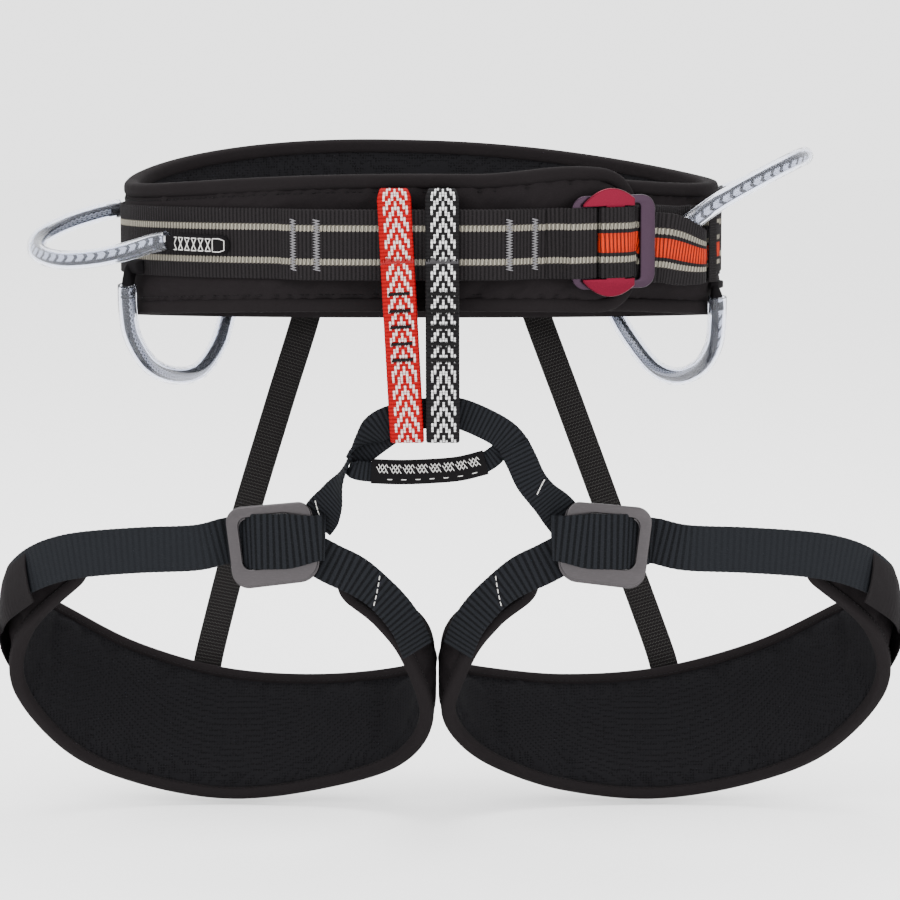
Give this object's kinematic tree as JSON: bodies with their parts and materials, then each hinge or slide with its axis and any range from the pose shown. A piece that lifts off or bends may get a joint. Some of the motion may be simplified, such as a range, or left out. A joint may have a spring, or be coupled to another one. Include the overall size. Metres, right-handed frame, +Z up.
{
  "type": "climbing harness",
  "caption": "Sit harness with a padded waist belt, doubled-back buckle, two belay loops, gear loops and padded leg loops hung from a webbing bridge and elastic risers.",
  "frame": {"origin": "middle of the waist opening at the belt's mid height, in line with the belay loops", "axes": "+X across the harness to the waist buckle's side, +Y from front to back, +Z up as worn"},
  "size_m": [0.4999, 0.2489, 0.3725],
  "materials": {
    "shell_fabric": "black soft-shell fabric",
    "foam": "closed-cell foam",
    "mesh_lining": "black air mesh",
    "binding_tape": "black woven tape",
    "striped_webbing": "charcoal webbing with two beige stripes",
    "reverse_webbing": "webbing with an orange stripe on its reverse",
    "black_elastic": "black elastic webbing",
    "violet_anodised": "anodised, satin",
    "red_anodised": "anodised, satin",
    "gunmetal": "anodised, satin",
    "red_webbing": "red and white woven webbing",
    "black_white_webbing": "black and white woven webbing",
    "clear_tube": "clear flexible tube",
    "black_cord": "black cord with a white fleck",
    "charcoal_webbing": "charcoal ribbed webbing"
  },
  "bodies": {
    "belt": {"waist_shell": "shell_fabric", "waist_foam": "foam", "waist_liner": "mesh_lining", "waist_binding": "binding_tape", "waist_webbing": "striped_webbing", "tie_in_webbing": "striped_webbing", "waist_strap_tail": "reverse_webbing", "waist_buckle_frame": "violet_anodised", "front_left_gear_tabs": "binding_tape", "front_right_gear_tabs": "binding_tape", "rear_left_gear_tabs": "binding_tape", "rear_right_gear_tabs": "binding_tape", "bridge_webbing": "charcoal_webbing", "lower_tie_in_loop": "charcoal_webbing", "tie_in_sleeve": "binding_tape", "left_bridge_arm": "charcoal_webbing", "right_bridge_arm": "charcoal_webbing", "left_riser": "black_elastic", "right_riser": "black_elastic"},
    "waist_keeper": {"waist_keeper": "black_elastic"},
    "waist_buckle_slider": {"waist_buckle_slider": "red_anodised"},
    "red_belay_loop": {"red_belay_loop": "red_webbing"},
    "black_belay_loop": {"black_belay_loop": "black_white_webbing"},
    "front_left_gear_loop": {"front_left_gear_sleeve": "clear_tube", "front_left_gear_cord": "black_cord"},
    "front_right_gear_loop": {"front_right_gear_sleeve": "clear_tube", "front_right_gear_cord": "black_cord"},
    "rear_left_gear_loop": {"rear_left_gear_sleeve": "clear_tube", "rear_left_gear_cord": "black_cord"},
    "rear_right_gear_loop": {"rear_right_gear_sleeve": "clear_tube", "rear_right_gear_cord": "black_cord"},
    "left_leg_loop": {"left_leg_shell": "shell_fabric", "left_leg_foam": "foam", "left_leg_liner": "mesh_lining", "left_leg_binding": "binding_tape", "left_leg_strap": "charcoal_webbing", "left_leg_inner_webbing": "charcoal_webbing", "left_leg_pocket": "binding_tape"},
    "left_leg_buckle": {"left_leg_buckle_frame": "gunmetal", "left_leg_buckle_plate": "gunmetal"},
    "right_leg_loop": {"right_leg_shell": "shell_fabric", "right_leg_foam": "foam", "right_leg_liner": "mesh_lining", "right_leg_binding": "binding_tape", "right_leg_strap": "charcoal_webbing", "right_leg_inner_webbing": "charcoal_webbing", "right_leg_pocket": "binding_tape"},
    "right_leg_buckle": {"right_leg_buckle_frame": "gunmetal", "right_leg_buckle_plate": "gunmetal"}
  },
  "joints": [
    {"name": "front_left_gear_loop_hinge", "type": "hinge", "parent": "belt", "child": "front_left_gear_loop", "pos_m": [-0.16625, -0.01825, 0.0125], "axis": [-0.2284, 0.9676, 0.108], "range_deg": [-25, 30], "stiffness_Nm_per_rad": 0.05},
    {"name": "front_right_gear_loop_hinge", "type": "hinge", "parent": "belt", "child": "front_right_gear_loop", "pos_m": [0.15, -0.0065, 0.0255], "axis": [-0.1805, -0.9835, -0.009], "range_deg": [-45, 20], "stiffness_Nm_per_rad": 0.05},
    {"name": "rear_left_gear_loop_hinge", "type": "hinge", "parent": "belt", "child": "rear_left_gear_loop", "pos_m": [-0.143, 0.0235, -0.025], "axis": [0.3202, 0.9422, -0.0985], "range_deg": [0, 45]},
    {"name": "rear_right_gear_loop_hinge", "type": "hinge", "parent": "belt", "child": "rear_right_gear_loop", "pos_m": [0.128, 0.034, -0.0295], "axis": [0.3565, -0.9323, 0.0617], "range_deg": [0, 45]},
    {"name": "left_leg_swing", "type": "hinge", "parent": "belt", "child": "left_leg_loop", "pos_m": [0, -0.114, -0.106], "axis": [1, 0, 0], "range_deg": [-8, 20], "stiffness_Nm_per_rad": 0.8, "springref_deg": 6.88, "deforming": ["left_riser", "left_bridge_arm"]},
    {"name": "right_leg_swing", "type": "hinge", "parent": "belt", "child": "right_leg_loop", "pos_m": [0, -0.114, -0.106], "axis": [1, 0, 0], "range_deg": [-8, 20], "stiffness_Nm_per_rad": 0.8, "springref_deg": 6.88, "deforming": ["right_riser", "right_bridge_arm"]},
    {"name": "left_leg_buckle_tilt", "type": "hinge", "parent": "left_leg_loop", "child": "left_leg_buckle", "pos_m": [-0.07088, -0.10404, -0.1512], "axis": [0.0283, 0.0599, 0.9978], "range_deg": [0, 15]},
    {"name": "right_leg_buckle_tilt", "type": "hinge", "parent": "right_leg_loop", "child": "right_leg_buckle", "pos_m": [0.07289, -0.10404, -0.1512], "axis": [0.0283, -0.0599, -0.9978], "range_deg": [0, 15]},
    {"name": "waist_buckle_slide", "type": "slide", "parent": "belt", "child": "waist_buckle_slider", "axis": [0.9037, 0.4282, 0], "range_m": [-0.001, 0.001]},
    {"name": "waist_keeper_slide", "type": "slide", "parent": "belt", "child": "waist_keeper", "axis": [0.5771, 0.8167, 0], "range_m": [-0.002, 0.002]},
    {"name": "red_belay_loop_slide", "type": "slide", "parent": "belt", "child": "red_belay_loop", "axis": [1, 0, 0], "range_m": [-0.001, 0]},
    {"name": "black_belay_loop_slide", "type": "slide", "parent": "belt", "child": "black_belay_loop", "axis": [1, 0, 0], "range_m": [0, 0.004]}
  ]
}
